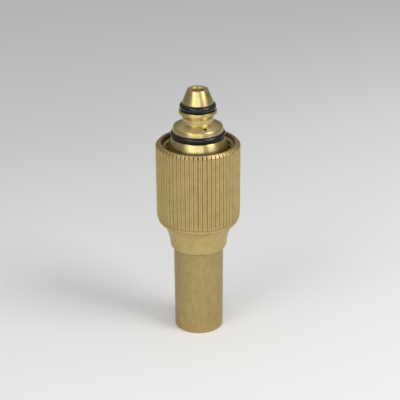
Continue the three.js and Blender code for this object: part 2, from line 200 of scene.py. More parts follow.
def finish_mesh(mesh, name, crease_deg=CREASE_DEG):
    """A new object holding the mesh, with its faces pointing out and smooth up to crease_deg."""
    bmesh.ops.recalc_face_normals(mesh, faces=mesh.faces)
    data = bpy.data.meshes.new(name)
    mesh.to_mesh(data)
    mesh.free()
    piece = bpy.data.objects.new(name, data)
    bpy.context.scene.collection.objects.link(piece)
    smooth(piece, crease_deg)
    return piece


def smooth(piece, crease_deg=CREASE_DEG):
    for face in piece.data.polygons:
        face.use_smooth = True
    piece.data.set_sharp_from_angle(angle=math.radians(crease_deg))


def turned(name, outline, sides=SMALL, closed=True):
    """An outline turned about the axis. A closed outline goes up the outside and down the inside."""
    points = rounded(outline)
    mesh = bmesh.new()
    rings = [ring_of(mesh, p.x, p.y, sides) for p in points]
    pairs = list(zip(rings, rings[1:]))
    if closed:
        pairs.append((rings[-1], rings[0]))
    for lower, upper in pairs:
        join_rings(mesh, lower, upper)
    return finish_mesh(mesh, name)


def round_ring(name, ring_r, section_r, height, sides=FINE, section_sides=32):
    outline = []
    for i in range(section_sides):
        angle = TURN * i / section_sides
        outline.append([ring_r + section_r * math.cos(angle), height + section_r * math.sin(angle)])
    return turned(name, outline, sides)


def plain_ring(name, inner_r, outer_r, foot, top, edge=CRISP, sides=SMALL):
    outline = [[inner_r, foot, edge], [outer_r, foot, edge], [outer_r, top, edge], [inner_r, top, edge]]
    return turned(name, outline, sides)


# ---------- Node graphs ----------

class Graph:
    """A node tree being wired. Every input takes a plain value or another node's output."""

    def __init__(self, tree):
        self.tree = tree

    def feed(self, socket, value):
        if isinstance(value, bpy.types.NodeSocket):
            self.tree.links.new(value, socket)
        else:
            socket.default_value = value

    def add(self, kind, inputs=None, **settings):
        node = self.tree.nodes.new(kind)
        for key, value in settings.items():
            setattr(node, key, value)
        for key, value in (inputs or {}).items():
            self.feed(node.inputs[key], value)
        return node

    def math(self, operation, *values):
        node = self.add("ShaderNodeMath", dict(enumerate(values)), operation=operation)
        return node.outputs[0]

    def ramp(self, value, low, high, to_low=0.0, to_high=1.0):
        node = self.add("ShaderNodeMapRange", {0: value, 1: low, 2: high, 3: to_low, 4: to_high},
                        interpolation_type="SMOOTHSTEP")
        return node.outputs[0]

    def noise(self, vector, scale, detail=3.0, roughness=0.55):
        node = self.add("ShaderNodeTexNoise", {"Vector": vector, "Scale": scale, "Detail": detail,
                                               "Roughness": roughness})
        return node.outputs[0]

    def mix(self, factor, first, second):
        node = self.add("ShaderNodeMix", {0: factor, 6: first, 7: second}, data_type="RGBA")
        return node.outputs[2]

    def vector(self, x, y, z):
        return self.add("ShaderNodeCombineXYZ", {0: x, 1: y, 2: z}).outputs[0]

    def parts(self, vector):
        return self.add("ShaderNodeSeparateXYZ", {0: vector}).outputs

    def radius(self, x, y):
        return self.math("SQRT", self.math("ADD", self.math("MULTIPLY", x, x), self.math("MULTIPLY", y, y)))


def geometry_tree(name, inputs):
    """A geometry tree with a Geometry input and output, and the named inputs as (name, kind, value)."""
    tree = bpy.data.node_groups.new(name, "GeometryNodeTree")
    tree.interface.new_socket("Geometry", in_out="INPUT", socket_type="NodeSocketGeometry")
    tree.interface.new_socket("Geometry", in_out="OUTPUT", socket_type="NodeSocketGeometry")
    for label, kind, value in inputs:
        item = tree.interface.new_socket(label, in_out="INPUT", socket_type="NodeSocket" + kind)
        if value is not None:
            item.default_value = value
    graph = Graph(tree)
    return graph, graph.add("NodeGroupInput").outputs, graph.add("NodeGroupOutput").inputs


def close_tree(graph, geometry, material, output):
    realized = graph.add("GeometryNodeRealizeInstances", {0: geometry}).outputs[0]
    painted = graph.add("GeometryNodeSetMaterial", {"Geometry": realized, "Material": material}).outputs[0]
    graph.feed(output[0], painted)


def made_by(tree, piece, values):
    """The piece as the tree leaves it, as a plain mesh on the same object."""
    modifier = piece.modifiers.new("tree", "NODES")
    modifier.node_group = tree
    for item in tree.interface.items_tree:
        if item.in_out == "INPUT" and item.name in values:
            modifier[item.identifier] = values[item.name]
    bpy.context.view_layer.update()
    graph = bpy.context.evaluated_depsgraph_get()
    made = bpy.data.meshes.new_from_object(piece.evaluated_get(graph), depsgraph=graph)
    piece.modifiers.clear()
    piece.data = made
    smooth(piece)
    return piece


# How the knurl varies and where shade is painted on the nut, for knurl_tree
WEAR_AND_SHADE = Sizes(
    round_scale=300.0, up_scale=12.0,  # of the slow change round and along the nut
    patch_scale=0.6, patch=(0.35, 0.6), least_worn=0.85,
    groove_floor=0.25,  # the flat share of half a groove
    least_depth=0.85, depth_spread=0.3,  # of each groove, by chance
    seam_start=0.38,  # where the fine line on a crest begins, as a share of the pitch
    end_run=(-0.35 * MM, 0.1 * MM),  # heights past the chamfer's foot over which a groove deepens
    # painted shade at the ends of the grooves through the chamfer, and along the fine line on each crest
    end_stain=1.6, seam_stain=0.55,
    outside_depths=5.0,  # how many groove depths below the crests still count as outside
    bore_wall=(0.8 * MM, 1.75 * MM),  # the wall outside a surface, from no painted shade in the bore to all of it
    line_core=3.0,  # a painted dark line of shade is full over one part in this many of its width
)


def knurl_tree():
    """Cuts straight ridges into the outside of a turned blank and marks where shade is painted on it: in the
    grooves, the bore, and thin dark lines at the bead and the mouth.
    """
    graph, given, output = geometry_tree("knurl", [
        ("Ridges", "Float", 60.0), ("Crest radius", "Float", 0.01), ("Depth", "Float", 0.0003),
        ("Groove share", "Float", 0.2), ("Seam", "Float", 0.0001), ("Foot", "Float", 0.0),
        ("Run out", "Float", 0.0002), ("Top", "Float", 0.02), ("End depth", "Float", 0.0002),
        ("Wander", "Float", 0.05), ("Bore shade", "Float", 0.8), ("Line shade", "Float", 0.4),
        ("Line width", "Float", 0.0003), ("Lip", "Float", 0.001), ("Mouth", "Float", 0.0),
        ("Seed", "Float", 0.0), ("Material", "Material", None),
    ])
    x, y, z = graph.parts(graph.add("GeometryNodeInputPosition").outputs[0])
    radius = graph.radius(x, y)

    turns = graph.math("DIVIDE", graph.math("ARCTAN2", y, x), TURN)
    around = graph.vector(graph.math("MULTIPLY", x, WEAR_AND_SHADE.round_scale),
                          graph.math("MULTIPLY", y, WEAR_AND_SHADE.round_scale),
                          graph.math("MULTIPLY", z, WEAR_AND_SHADE.up_scale))
    sway = graph.noise(around, scale=1.0)
    patches = graph.noise(around, scale=WEAR_AND_SHADE.patch_scale, detail=1.0)
    worn = graph.ramp(patches, *WEAR_AND_SHADE.patch, WEAR_AND_SHADE.least_worn, 1.0)
    shift = graph.math("MULTIPLY", graph.math("SUBTRACT", sway, 0.5), given["Wander"])
    pitches = graph.math("ADD", graph.math("MULTIPLY", turns, given["Ridges"]), shift)
    off_groove = graph.math("PINGPONG", pitches, 0.5)
    floor_share = graph.math("MULTIPLY", given["Groove share"], WEAR_AND_SHADE.groove_floor)
    groove = graph.ramp(off_groove, floor_share, given["Groove share"], 1.0, 0.0)

    index = graph.math("FLOORED_MODULO", graph.math("ROUND", pitches), given["Ridges"])
    chance = graph.add("ShaderNodeTexWhiteNoise", {"W": graph.math("ADD", index, given["Seed"])},
                       noise_dimensions="1D").outputs[0]
    near_top = graph.ramp(graph.math("SUBTRACT", z, given["Top"]), *WEAR_AND_SHADE.end_run)
    full = graph.math("MULTIPLY_ADD", near_top, given["End depth"], given["Depth"])
    uneven = graph.math("MULTIPLY_ADD", chance, WEAR_AND_SHADE.depth_spread, WEAR_AND_SHADE.least_depth)
    depth = graph.math("MULTIPLY", graph.math("MULTIPLY", full, worn), uneven)
    above = graph.math("SUBTRACT", z, given["Foot"])
    run_out = graph.ramp(above, 0.0, given["Run out"])
    cut = graph.math("MULTIPLY", graph.math("MULTIPLY", depth, groove), run_out)
    crest = graph.math("MULTIPLY", graph.ramp(off_groove, WEAR_AND_SHADE.seam_start, 0.5), run_out)
    dip = graph.math("MULTIPLY", crest, given["Seam"])
    limit = graph.math("SUBTRACT", graph.math("SUBTRACT", given["Crest radius"], cut), dip)
    new_radius = graph.math("MINIMUM", radius, limit)
    scale = graph.math("DIVIDE", new_radius, graph.math("MAXIMUM", radius, ON_AXIS))
    moved = graph.add("GeometryNodeSetPosition", {
        "Geometry": given["Geometry"],
        "Position": graph.vector(graph.math("MULTIPLY", x, scale), graph.math("MULTIPLY", y, scale), z),
    }).outputs[0]

    skin = graph.math("MULTIPLY", given["Depth"], WEAR_AND_SHADE.outside_depths)
    outside = graph.math("GREATER_THAN", radius, graph.math("SUBTRACT", given["Crest radius"], skin))
    # painted shade in the grooves, darker where they run out through the chamfer, and along each crest's fine
    # line
    groove_shade = graph.math("MULTIPLY", groove, graph.math("MULTIPLY_ADD", near_top, WEAR_AND_SHADE.end_stain, 1.0))
    hollow = graph.math("MULTIPLY_ADD", crest, WEAR_AND_SHADE.seam_stain, graph.math("MULTIPLY", groove_shade, run_out))
    hollow = graph.math("MULTIPLY", graph.math("MULTIPLY", hollow, outside), worn)
    # painted shade on the bore's wall, and painted dark lines of shade on each side of the bead and at the
    # mouth
    wall = graph.math("SUBTRACT", given["Crest radius"], radius)
    bore = graph.math("MULTIPLY", graph.ramp(wall, *WEAR_AND_SHADE.bore_wall), graph.math("GREATER_THAN", above, 0.0))
    painted_shade = graph.math("MULTIPLY", bore, given["Bore shade"])
    lip_foot = graph.math("SUBTRACT", given["Foot"], given["Lip"])
    full_width = graph.math("DIVIDE", given["Line width"], WEAR_AND_SHADE.line_core)
    for height in (given["Foot"], lip_foot, given["Mouth"]):
        off_line = graph.math("ABSOLUTE", graph.math("SUBTRACT", z, height))
        line = graph.ramp(off_line, full_width, given["Line width"], given["Line shade"], 0.0)
        painted_shade = graph.math("MAXIMUM", painted_shade, line)
    marked = graph.add("GeometryNodeStoreNamedAttribute", {
        "Geometry": moved, "Name": "groove", "Value": graph.math("MAXIMUM", painted_shade, hollow),
    }, data_type="FLOAT", domain="POINT").outputs[0]
    close_tree(graph, marked, given["Material"], output)
    return graph.tree


THREAD_TAPER = 0.05  # share of the thread's length over which each end fades in


def thread_tree():
    """Adds a helical ridge inside a bore: a triangular section carried up a spiral."""
    graph, given, output = geometry_tree("thread", [
        ("Root radius", "Float", 0.01), ("Height", "Float", 0.0006), ("Pitch", "Float", 0.0015),
        ("Turns", "Float", 6.0), ("Foot", "Float", 0.0), ("Steps", "Int", 96), ("Root shade", "Float", 1.0),
        ("Material", "Material", None),
    ])
    spiral = graph.add("GeometryNodeCurveSpiral", {
        "Resolution": given["Steps"], "Rotations": given["Turns"], "Start Radius": given["Root radius"],
        "End Radius": given["Root radius"], "Height": graph.math("MULTIPLY", given["Turns"], given["Pitch"]),
    }).outputs[0]
    upright = graph.add("GeometryNodeSetCurveNormal", {0: spiral}, mode="Z_UP").outputs[0]
    along = graph.add("GeometryNodeSplineParameter").outputs["Factor"]
    ends = graph.math("MINIMUM", graph.ramp(along, 0.0, THREAD_TAPER),
                      graph.ramp(along, 1.0, 1.0 - THREAD_TAPER))
    triangle = graph.add("GeometryNodeCurvePrimitiveCircle", {"Resolution": 3, "Radius": given["Height"]})
    swept = graph.add("GeometryNodeCurveToMesh", {
        "Curve": upright, "Profile Curve": triangle.outputs[0], "Scale": ends, "Fill Caps": True,
    }).outputs[0]
    lifted = graph.add("GeometryNodeTransform", {
        "Geometry": swept, "Translation": graph.vector(0.0, 0.0, given["Foot"]),
    }).outputs[0]
    x, y, _ = graph.parts(graph.add("GeometryNodeInputPosition").outputs[0])
    crest = graph.math("SUBTRACT", given["Root radius"], given["Height"])
    # painted shade in the thread's roots
    dark = graph.ramp(graph.radius(x, y), crest, given["Root radius"], 0.0, given["Root shade"])
    marked = graph.add("GeometryNodeStoreNamedAttribute", {
        "Geometry": lifted, "Name": "groove", "Value": dark,
    }, data_type="FLOAT", domain="POINT").outputs[0]
    close_tree(graph, marked, given["Material"], output)
    return graph.tree


def milled_tree():
    """Takes a cutter out of a blank at even turns about the axis."""
    graph, given, output = geometry_tree("milled", [
        ("Cutter", "Object", None), ("Count", "Int", 2), ("First turn", "Float", 0.0),
        ("Material", "Material", None),
    ])
    cutter = graph.add("GeometryNodeObjectInfo", {"Object": given["Cutter"]}, transform_space="ORIGINAL")
    points = graph.add("GeometryNodePoints", {"Count": given["Count"]}).outputs[0]
    index = graph.add("GeometryNodeInputIndex").outputs[0]
    share = graph.math("DIVIDE", index, given["Count"])
    turn = graph.math("MULTIPLY_ADD", share, TURN, given["First turn"])
    placed = graph.add("GeometryNodeInstanceOnPoints", {
        "Points": points, "Instance": cutter.outputs["Geometry"], "Rotation": graph.vector(0.0, 0.0, turn),
    }).outputs[0]
    cutters = graph.add("GeometryNodeRealizeInstances", {0: placed}).outputs[0]
    cut = graph.add("GeometryNodeMeshBoolean", {"Mesh 1": given["Geometry"], "Mesh 2": cutters},
                    operation="DIFFERENCE", solver="EXACT").outputs[0]
    close_tree(graph, cut, given["Material"], output)
    return graph.tree


KNURL = knurl_tree()
THREAD = thread_tree()
MILLED = milled_tree()


def bar(size, middle, lean_deg=0.0):
    """A square bar to mill with: its size and middle in millimetres, leaned about its X axis."""
    mesh = bmesh.new()
    pose = Matrix.Translation(Vector(middle) * MM) @ Matrix.Rotation(math.radians(lean_deg), 4, "X")
    bmesh.ops.create_cube(mesh, size=1, matrix=pose @ Matrix.Diagonal((*[s * MM for s in size], 1)))
    return finish_mesh(mesh, "cutter")


def drill(radius, length, middle, lean_deg=0.0, sides=32):
    """A round drill along Z, leaned about its Y axis."""
    mesh = bmesh.new()
    pose = Matrix.Translation(Vector(middle) * MM) @ Matrix.Rotation(math.radians(lean_deg), 4, "Y")
    bmesh.ops.create_cone(mesh, cap_ends=True, segments=sides, radius1=radius * MM, radius2=radius * MM,
                          depth=length * MM, matrix=pose)
    return finish_mesh(mesh, "cutter")


def milled(piece, cutter, count, first_deg=0.0):
    made_by(MILLED, piece, {"Cutter": cutter, "Count": count, "First turn": math.radians(first_deg)})
    bpy.data.objects.remove(cutter)
    return piece


# ---------- Finishes ----------

def shader_group(name, inputs, outputs):
    """A shader group with the named inputs as (name, kind, value) and outputs as (name, kind)."""
    tree = bpy.data.node_groups.new(name, "ShaderNodeTree")
    for label, kind, value in inputs:
        item = tree.interface.new_socket(label, in_out="INPUT", socket_type="NodeSocket" + kind)
        item.default_value = value
    for label, kind in outputs:
        tree.interface.new_socket(label, in_out="OUTPUT", socket_type="NodeSocket" + kind)
    graph = Graph(tree)
    return graph, graph.add("NodeGroupInput").outputs, graph.add("NodeGroupOutput").inputs


def in_millimetres(graph):
    at = graph.add("ShaderNodeTexCoord").outputs["Object"]
    return graph.add("ShaderNodeVectorMath", {0: at, 3: 1 / MM}, operation="SCALE").outputs[0]


def grey(tone):
    return (tone, tone, tone, 1)


RING_SWAY = 0.02  # mm that the tool marks stray
DRIFT_SHARE = 0.5  # of the tone that comes from the slow drift


def tool_marks_group():
    """Fine rings left by a lathe tool, and the slow drift of tone round a turned part."""
    graph, given, output = shader_group("tool_marks", [("Rings per mm", "Float", 5.0)],
                                        [("Height", "Float"), ("Tone", "Float"), ("Wear", "Float")])
    at = in_millimetres(graph)
    x, y, z = graph.parts(at)
    drift = graph.noise(at, scale=0.35, detail=2.0)
    across = graph.vector(graph.math("MULTIPLY_ADD", drift, RING_SWAY, graph.radius(x, y)), 0.0, z)
    rings = graph.noise(across, given["Rings per mm"], detail=2.0, roughness=0.5)
    handled = graph.noise(at, scale=1.7, detail=5.0, roughness=0.6)
    graph.feed(output["Height"], rings)
    graph.feed(output["Tone"], graph.math("MULTIPLY_ADD", rings, 1.0 - DRIFT_SHARE,
                                          graph.math("MULTIPLY", drift, DRIFT_SHARE)))
    graph.feed(output["Wear"], graph.ramp(handled, low=0.45, high=0.7))
    return graph.tree


STREAK_SHARE = 0.55  # of the tarnish that runs in streaks, and the rest lies in clouds
STREAK_ACROSS = 2.2  # cells per mm across a streak
STREAK_ALONG = 0.35  # cells per mm along it


def tumbled_skin_group():
    """The dull, finely pitted skin of tumbled brass: grain, blotches of tarnish, and small dark specks."""
    graph, given, output = shader_group("tumbled_skin", [("Grain per mm", "Float", 7.0)],
                                        [("Height", "Float"), ("Blotch", "Float"), ("Speck", "Float")])
    at = in_millimetres(graph)
    x, y, z = graph.parts(at)
    grain = graph.noise(at, given["Grain per mm"], detail=3.0, roughness=0.65)
    drawn = graph.vector(graph.math("MULTIPLY", x, STREAK_ACROSS), graph.math("MULTIPLY", y, STREAK_ACROSS),
                         graph.math("MULTIPLY", z, STREAK_ALONG))
    streak = graph.noise(drawn, scale=1.0, detail=4.0, roughness=0.6)
    cloud = graph.noise(at, scale=0.45, detail=3.0, roughness=0.5)
    tarnish = graph.math("ADD", graph.math("MULTIPLY", streak, STREAK_SHARE),
                         graph.math("MULTIPLY", cloud, 1.0 - STREAK_SHARE))
    dots = graph.noise(at, scale=3.1, detail=2.0, roughness=0.5)
    graph.feed(output["Height"], grain)
    graph.feed(output["Blotch"], graph.ramp(tarnish, low=0.35, high=0.65))
    graph.feed(output["Speck"], graph.ramp(dots, low=0.66, high=0.74))
    return graph.tree


TOOL_MARKS = tool_marks_group()
TUMBLED_SKIN = tumbled_skin_group()


def new_material(name):
    material = bpy.data.materials.new(name)
    material.use_nodes = True
    material.node_tree.nodes.clear()
    graph = Graph(material.node_tree)
    shader = graph.add("ShaderNodeBsdfPrincipled")
    graph.add("ShaderNodeOutputMaterial", {"Surface": shader.outputs[0]})
    return material, graph, shader


def bump(graph, shader, height, depth_mm, strength=1.0):
    node = graph.add("ShaderNodeBump", {"Height": height, "Distance": depth_mm * MM, "Strength": strength})
    graph.feed(shader.inputs["Normal"], node.outputs[0])


def group(graph, tree, **inputs):
    """A placed group's outputs. An underscore in an input's name stands for a space."""
    named = {key.replace("_", " "): value for key, value in inputs.items()}
    return graph.add("ShaderNodeGroup", named, node_tree=tree).outputs


def metal(shader, amount=1.0):
    shader.inputs["Metallic"].default_value = amount


AXIAL_STRETCH = 0.25  # turn of the highlights' stretch, which puts it along the axis
HANDLED_ROUGHNESS = 0.1  # more, where a turned part has been handled


def turned_metal(name, light, dark, roughness, rings=5.0, depth=0.0006, anisotropic=0.7):
    """Bright lathe-turned metal: rings of tool marks that stretch each highlight along the axis."""
    material, graph, shader = new_material(name)
    marks = group(graph, TOOL_MARKS, Rings_per_mm=rings)
    tone = graph.ramp(marks["Tone"], low=0.3, high=0.7)
    graph.feed(shader.inputs["Base Color"], graph.mix(tone, (*dark, 1), (*light, 1)))
    graph.feed(shader.inputs["Roughness"],
               graph.ramp(marks["Wear"], 0.0, 1.0, roughness, roughness + HANDLED_ROUGHNESS))
    metal(shader)
    shader.inputs["Anisotropic"].default_value = anisotropic
    shader.inputs["Anisotropic Rotation"].default_value = AXIAL_STRETCH
    bump(graph, shader, marks["Height"], depth)
    return material


GRAIN_PER_MM = 7.0
GRAIN_DEPTH = 0.005
SPECK_STRENGTH = 0.5
GROOVE_STRENGTH = 0.72  # of the painted shade's groove colour where the groove attribute is 1
TARNISH_ROUGHNESS = 0.08  # more, where the brass is tarnished


def tumbled_brass(name, light, dark, groove, speck, roughness):
    """Dull tumbled brass, browner with painted shade where the piece's own groove attribute marks it: in the
    grooves, the bore and thin lines at the bead and the mouth.
    """
    material, graph, shader = new_material(name)
    skin = group(graph, TUMBLED_SKIN, Grain_per_mm=GRAIN_PER_MM)
    colour = graph.mix(skin["Blotch"], (*dark, 1), (*light, 1))
    colour = graph.mix(graph.math("MULTIPLY", skin["Speck"], SPECK_STRENGTH), colour, (*speck, 1))
    # the groove attribute is painted shade; it browns the colour towards the groove colour
    painted_shade = graph.add("ShaderNodeAttribute", attribute_name="groove").outputs["Fac"]
    colour = graph.mix(graph.math("MULTIPLY", painted_shade, GROOVE_STRENGTH), colour, (*groove, 1))
    graph.feed(shader.inputs["Base Color"], colour)
    graph.feed(shader.inputs["Roughness"],
               graph.ramp(skin["Blotch"], 0.0, 1.0, roughness + TARNISH_ROUGHNESS, roughness))
    metal(shader)
    bump(graph, shader, skin["Height"], GRAIN_DEPTH)
    return material


def nitrile_rubber():
    """Black rubber, a little greyer and duller where dust clings."""
    material, graph, shader = new_material("nitrile")
    clean, dusty = (0.004, 0.004, 0.004, 1), (0.015, 0.014, 0.013, 1)
    clean_roughness, dusty_roughness, skin_depth = 0.27, 0.45, 0.004
    at = in_millimetres(graph)
    dust = graph.ramp(graph.noise(at, scale=2.5, detail=5.0, roughness=0.7), low=0.55, high=0.8)
    graph.feed(shader.inputs["Base Color"], graph.mix(dust, clean, dusty))
    graph.feed(shader.inputs["Roughness"], graph.ramp(dust, 0.0, 1.0, clean_roughness, dusty_roughness))
    bump(graph, shader, graph.noise(at, scale=6.0, detail=3.0), skin_depth)
    return material


def sintered_bronze():
    """Grains of bronze fused together, with painted shade in the gaps between them."""
    material, graph, shader = new_material("sintered_bronze")
    grain, gap = (0.45, 0.30, 0.16, 1), (0.12, 0.07, 0.04, 1)
    grains_per_mm, gap_depth = 7.0, 0.06
    at = in_millimetres(graph)
    cells = graph.add("ShaderNodeTexVoronoi", {"Vector": at, "Scale": grains_per_mm}).outputs["Distance"]
    gaps = graph.ramp(cells, low=0.25, high=0.6)
    graph.feed(shader.inputs["Base Color"], graph.mix(gaps, grain, gap))
    metal(shader, 0.9)
    shader.inputs["Roughness"].default_value = 0.6
    bump(graph, shader, graph.math("SUBTRACT", 1.0, gaps), gap_depth)
    return material


TURNED_BRASS = turned_metal("turned_brass", light=(0.71, 0.58, 0.29), dark=(0.59, 0.46, 0.17), roughness=0.31)
COPPER = turned_metal("copper", light=(0.86, 0.50, 0.34), dark=(0.68, 0.36, 0.24), roughness=0.32,
                      anisotropic=0.3)
STEEL = turned_metal("steel", light=(0.62, 0.61, 0.58), dark=(0.46, 0.45, 0.43), roughness=0.3)
NUT_BRASS = tumbled_brass("nut_brass", light=(0.62, 0.485, 0.205), dark=(0.54, 0.415, 0.175),
                          groove=(0.17, 0.095, 0.045), speck=(0.16, 0.105, 0.06), roughness=0.42)
BARREL_BRASS = tumbled_brass("barrel_brass", light=(0.50, 0.387, 0.165), dark=(0.44, 0.337, 0.146),
                             groove=(0.15, 0.095, 0.04), speck=(0.25, 0.18, 0.10), roughness=0.42)
NITRILE = nitrile_rubber()
SINTERED_BRONZE = sintered_bronze()


# ---------- Placing a piece ----------

def place(piece, node, body, material):
    """The piece rides its body in its finish. It takes a CAD node's place, unless it only adds to one."""
    piece.data.materials.clear()
    piece.data.materials.append(material)
    for face in piece.data.polygons:
        face.material_index = 0
    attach(piece, body)
    if node:
        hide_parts(node)
    return piece


# ---------- The spigot head and its seal rings ----------

class Seat:
    """The groove that a seal ring sits in, from the ring's own place."""

    def __init__(self, node, play):
        self.outer_r, low, high = span(node)
        self.section_r = (high - low) / 2
        self.middle = (high + low) / 2
        self.ring_r = self.outer_r - self.section_r
        self.foot = low - play / 2
        self.top = high + play / 2
        self.bottom_r = self.ring_r - self.section_r - SEAL_GAP


SHOULDER_SEAT = Seat("shoulder_seal_ring", play=0.04)
NOSE_SEAT = Seat("nose_seal_ring", play=0.14)


def spigot_head():
    flange_r, foot, tip = span("spigot_head")
    flange_foot = span("slip_washer")[2] + NUT_TRAVEL
    skirt_foot = flange_foot + HEAD.flange_height
    land_top = SHOULDER_SEAT.top + HEAD.land_height
    waist_foot = land_top + HEAD.cone_height
    waist_top = waist_foot + HEAD.waist_height
    collar_foot = waist_top + HEAD.collar_bevel
    strainer_top = tip - PASSAGE.nose_depth
    strainer_foot = strainer_top - PASSAGE.strainer_depth
    gallery_top = strainer_foot - PASSAGE.tube_depth
    corner_out, corner_down, corner_up = HEAD.waist_corner
    outside = [
        [STEM_R, foot, 0.3], [STEM_R, flange_foot, 0.15], [flange_r, flange_foot, 0.2],
        [flange_r, skirt_foot, 0.2], [HEAD.skirt_r, skirt_foot, 0.1],
        [HEAD.skirt_r - HEAD.skirt_taper, skirt_foot + HEAD.skirt_height, 0.5],
        [HEAD.skirt_r - HEAD.skirt_inset, SHOULDER_SEAT.foot, 0.08],
        [SHOULDER_SEAT.bottom_r, SHOULDER_SEAT.foot, 0.2], [SHOULDER_SEAT.bottom_r, SHOULDER_SEAT.top, 0.2],
        [HEAD.land_r, SHOULDER_SEAT.top, 0.1], [HEAD.land_top_r, land_top, 0.18],
        [HEAD.waist_r + corner_out, waist_foot - corner_down, 0.03],
        [HEAD.waist_r, waist_foot + corner_up, 0.03],
        [HEAD.waist_r, waist_top, 0.2], [HEAD.collar_r, collar_foot, 0.1],
        [HEAD.collar_top_r, NOSE_SEAT.foot, 0.08],
        [NOSE_SEAT.bottom_r, NOSE_SEAT.foot, 0.2], [NOSE_SEAT.bottom_r, NOSE_SEAT.top, 0.2],
        [HEAD.nose_r, NOSE_SEAT.top, 0.08], [HEAD.tip_r, tip, 0.12],
    ]
    inside = [
        [HEAD.mouth_r, tip, 0.12], [PASSAGE.nose_r, tip - HEAD.mouth_depth, 0.08],
        [PASSAGE.nose_r, strainer_top, 0.05], [PASSAGE.strainer_r, strainer_top, 0.05],
        [PASSAGE.strainer_r, strainer_foot, 0.05], [PASSAGE.tube_r, strainer_foot, 0.05],
        [PASSAGE.tube_r, gallery_top, 0.1], [PASSAGE.gallery_r, gallery_top, 0.1],
    ]
    piece = turned("spigot_head_turned", [[PASSAGE.gallery_r, foot, 0.2]] + outside + inside, FINE)
    slope = math.radians(AIR_HOLE.slope_deg)
    middle = (AIR_HOLE.entry_r - AIR_HOLE.middle * math.cos(slope), 0,
              land_top + AIR_HOLE.entry_up - AIR_HOLE.middle * math.sin(slope))
    cutter = drill(AIR_HOLE.r, AIR_HOLE.length, middle, lean_deg=90 - AIR_HOLE.slope_deg)
    milled(piece, cutter, AIR_HOLE.count, AIR_HOLE.first_deg)
    return place(piece, "spigot_head", "nozzle_body", TURNED_BRASS)


def seal_ring(node, seat):
    piece = round_ring(node + "_moulded", seat.ring_r, seat.section_r, seat.middle)
    return place(piece, node, "nozzle_body", NITRILE)


# ---------- The union nut ----------

def nut_outside(foot, lip_foot, top, radius, barrel_r):
    """The nut's outside, from the mouth of its neck up past the lip and the ridges to its top face."""
    neck_r = barrel_r + NECK.wall
    spread = radius - NECK.top_inset - neck_r
    flare_foot = foot + NECK.mouth_height
    outline = [[neck_r - inset, foot + up, bend] for inset, up, bend in NECK_MOUTH]
    for step in range(2, NECK.steps + 1):
        t = step / NECK.steps
        outline.append([neck_r + spread * t * t, flare_foot + (lip_foot - flare_foot) * t, NECK.bend])
    outline += [[radius - inset, lip_foot + up, bend] for inset, up, bend in LIP_SHAPE]
    ridge_foot = lip_foot + LIP_HEIGHT
    outline += [[radius - share * KNURL_DEPTH, ridge_foot + up] for share, up in RUN_OUT]
    straight_foot = ridge_foot + RUN_OUT[-1][1]
    chamfer_foot = top - NUT_CHAMFER
    for step in range(1, STRAIGHT_STEPS):
        outline.append([radius, straight_foot + (chamfer_foot - straight_foot) * step / STRAIGHT_STEPS])
    outline += [[radius, chamfer_foot - CHAMFER_LEAD], [radius, chamfer_foot, 0.12]]
    for step in range(1, CHAMFER_STEPS):
        cut = NUT_CHAMFER * step / CHAMFER_STEPS
        outline.append([radius - cut, chamfer_foot + cut])
    outline.append([radius - NUT_CHAMFER, top, 0.15])
    return outline


def union_nut():
    radius, foot, top = span("union_nut")
    barrel_r, _, barrel_top = span("barrel")
    washer_foot = span("slip_washer")[1]
    lip_foot = foot + NECK.height
    bore_r = barrel_r + RUN
    root_r = NUT_THREAD.root_r
    entry_r = root_r + NUT_ENTRY.step
    chamfer, chamfer_height = NECK.chamfer
    mouth = [[bore_r, foot + chamfer_height, 0.1], [bore_r + chamfer, foot, 0.08]]
    outside = rounded(mouth + nut_outside(foot, lip_foot, top, radius, barrel_r))
    inside = rounded([
        [entry_r, top, 0.15], [entry_r, top - NUT_ENTRY.depth, 0.05], [root_r, top - NUT_ENTRY.end],
        [root_r, washer_foot, 0.1], [STEM_R + RUN, washer_foot, 0.1], [STEM_R + RUN, barrel_top, 0.1],
        [bore_r, barrel_top, 0.1],
    ])
    mesh = bmesh.new()
    sides = KNURL_RIDGES * KNURL_STEPS
    rings = [ring_of(mesh, p.x, p.y, sides) for p in outside]
    rings += [ring_of(mesh, p.x, p.y, sides // NUT_INNER_SHARE) for p in inside]
    for lower, upper in zip(rings, rings[1:] + rings[:1]):
        join_rings(mesh, lower, upper)
    piece = finish_mesh(mesh, "union_nut_knurled")
    made_by(KNURL, piece, {
        "Ridges": float(KNURL_RIDGES), "Crest radius": radius * MM, "Depth": KNURL_DEPTH * MM,
        "Groove share": KNURL_GROOVE, "Seam": SEAM_DEPTH * MM, "Foot": (lip_foot + LIP_HEIGHT) * MM,
        "Run out": KNURL_START * MM, "Wander": KNURL_WANDER, "Top": (top - NUT_CHAMFER) * MM,
        "End depth": KNURL_END_DEPTH * MM, "Bore shade": BORE_SHADE, "Line shade": LINE_SHADE,
        "Line width": LINE_WIDTH * MM, "Lip": LIP_HEIGHT * MM, "Mouth": foot * MM, "Seed": KNURL_SEED,
        "Material": NUT_BRASS,
    })
    return place(piece, "union_nut", "nut", NUT_BRASS)


def union_nut_thread():
    """The one thread that shows, on the nut's bore. The tree puts it in place of the plain ring."""
    radius, foot, top = span("union_nut")
    thread_foot = span("slip_washer")[1] + NUT_THREAD.above_washer
    piece = plain_ring("union_nut_thread", NUT_THREAD.root_r, radius, foot, top)
    made_by(THREAD, piece, {
        "Root radius": NUT_THREAD.root_r * MM, "Height": NUT_THREAD.depth * MM,
        "Pitch": NUT_THREAD.pitch * MM,
        "Turns": (top - NUT_THREAD.below_top - thread_foot) / NUT_THREAD.pitch,
        "Foot": thread_foot * MM, "Steps": NUT_THREAD.steps, "Root shade": BORE_SHADE, "Material": NUT_BRASS,
    })
    return place(piece, None, "nut", NUT_BRASS)


def slip_washer():
    outer_r, foot, top = span("slip_washer")
    piece = plain_ring("slip_washer_turned", STEM_R + RUN, outer_r, foot, top, edge=0.15)
    return place(piece, "slip_washer", "washer", STEEL)


# ---------- The barrel and the outlet ----------

